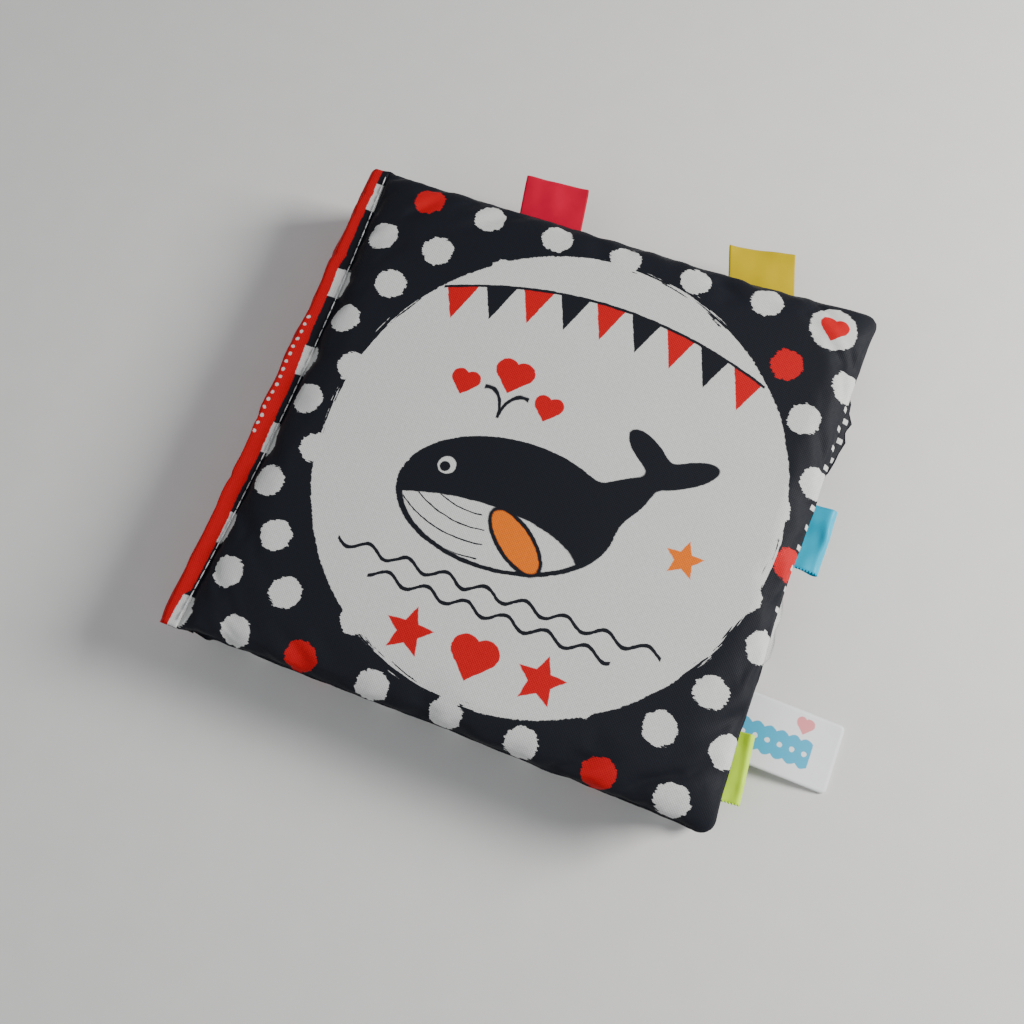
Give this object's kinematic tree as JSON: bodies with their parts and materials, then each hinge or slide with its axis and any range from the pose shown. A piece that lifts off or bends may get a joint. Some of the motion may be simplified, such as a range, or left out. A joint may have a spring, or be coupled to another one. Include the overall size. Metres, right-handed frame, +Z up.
{
  "type": "cloth baby book",
  "caption": "Soft high-contrast cloth picture book with padded covers and leaves, a bulging cloth spine, folded satin ribbon tabs and a side label.",
  "frame": {"origin": "middle of the back cover's flat underside, on the surface that the closed book lies on", "axes": "+Z up through the stacked leaves, +X from the spine to the fore-edge, +Y from tail to head"},
  "size_m": [0.1926, 0.1711, 0.0303],
  "materials": {
    "black_print": "matte",
    "white_print": "matte",
    "red_print": "matte",
    "wadding": "matte",
    "thread": "matte",
    "crimson_satin": "satin",
    "lemon_satin": "satin",
    "blue_satin": "satin",
    "lime_satin": "satin",
    "white_satin": "satin"
  },
  "bodies": {
    "back_cover": {"back_cover_outer_cloth": "black_print", "back_cover_inner_cloth": "white_print", "back_cover_wadding": "wadding", "back_seam_thread": "thread", "side_label": "white_satin"},
    "spine": {"spine_strip": "red_print", "spine_lining": "black_print"},
    "front_cover": {"front_cover_outer_cloth": "black_print", "front_cover_inner_cloth": "white_print", "front_cover_wadding": "wadding", "front_seam_thread": "thread"},
    "leaf_1": {"leaf_1_upper_cloth": "white_print", "leaf_1_lower_cloth": "black_print", "leaf_1_wadding": "wadding", "leaf_1_binding_thread": "thread", "red_ribbon_tab": "crimson_satin", "blue_ribbon_tab": "blue_satin"},
    "leaf_2": {"leaf_2_upper_cloth": "white_print", "leaf_2_lower_cloth": "black_print", "leaf_2_wadding": "wadding", "leaf_2_binding_thread": "thread", "yellow_ribbon_tab": "lemon_satin"},
    "leaf_3": {"leaf_3_upper_cloth": "white_print", "leaf_3_lower_cloth": "black_print", "leaf_3_wadding": "wadding", "leaf_3_binding_thread": "thread", "lime_ribbon_tab": "lime_satin"},
    "leaf_4": {"leaf_4_upper_cloth": "white_print", "leaf_4_lower_cloth": "black_print", "leaf_4_wadding": "wadding", "leaf_4_binding_thread": "thread"}
  },
  "joints": [
    {"name": "spine_hinge", "type": "hinge", "parent": "back_cover", "child": "spine", "pos_m": [-0.083, 0, 0.0042], "axis": [0, -1, 0], "range_deg": [0, 90]},
    {"name": "front_cover_hinge", "type": "hinge", "parent": "spine", "child": "front_cover", "pos_m": [-0.083, 0, 0.0261], "axis": [0, -1, 0], "range_deg": [0, 90]},
    {"name": "leaf_1_hinge", "type": "hinge", "parent": "spine", "child": "leaf_1", "pos_m": [-0.08185, 0, 0.0201], "axis": [0, -1, 0], "range_deg": [0, 72]},
    {"name": "leaf_2_hinge", "type": "hinge", "parent": "spine", "child": "leaf_2", "pos_m": [-0.08185, 0, 0.0168], "axis": [0, -1, 0], "range_deg": [0, 54]},
    {"name": "leaf_3_hinge", "type": "hinge", "parent": "spine", "child": "leaf_3", "pos_m": [-0.08185, 0, 0.0135], "axis": [0, -1, 0], "range_deg": [-54, 0]},
    {"name": "leaf_4_hinge", "type": "hinge", "parent": "spine", "child": "leaf_4", "pos_m": [-0.08185, 0, 0.0102], "axis": [0, -1, 0], "range_deg": [-72, 0]}
  ],
  "couplings": [
    {"joint": "leaf_1_hinge", "follows": "front_cover_hinge", "ratio": 0.8},
    {"joint": "leaf_2_hinge", "follows": "front_cover_hinge", "ratio": 0.6},
    {"joint": "leaf_3_hinge", "follows": "spine_hinge", "ratio": -0.6},
    {"joint": "leaf_4_hinge", "follows": "spine_hinge", "ratio": -0.8}
  ]
}
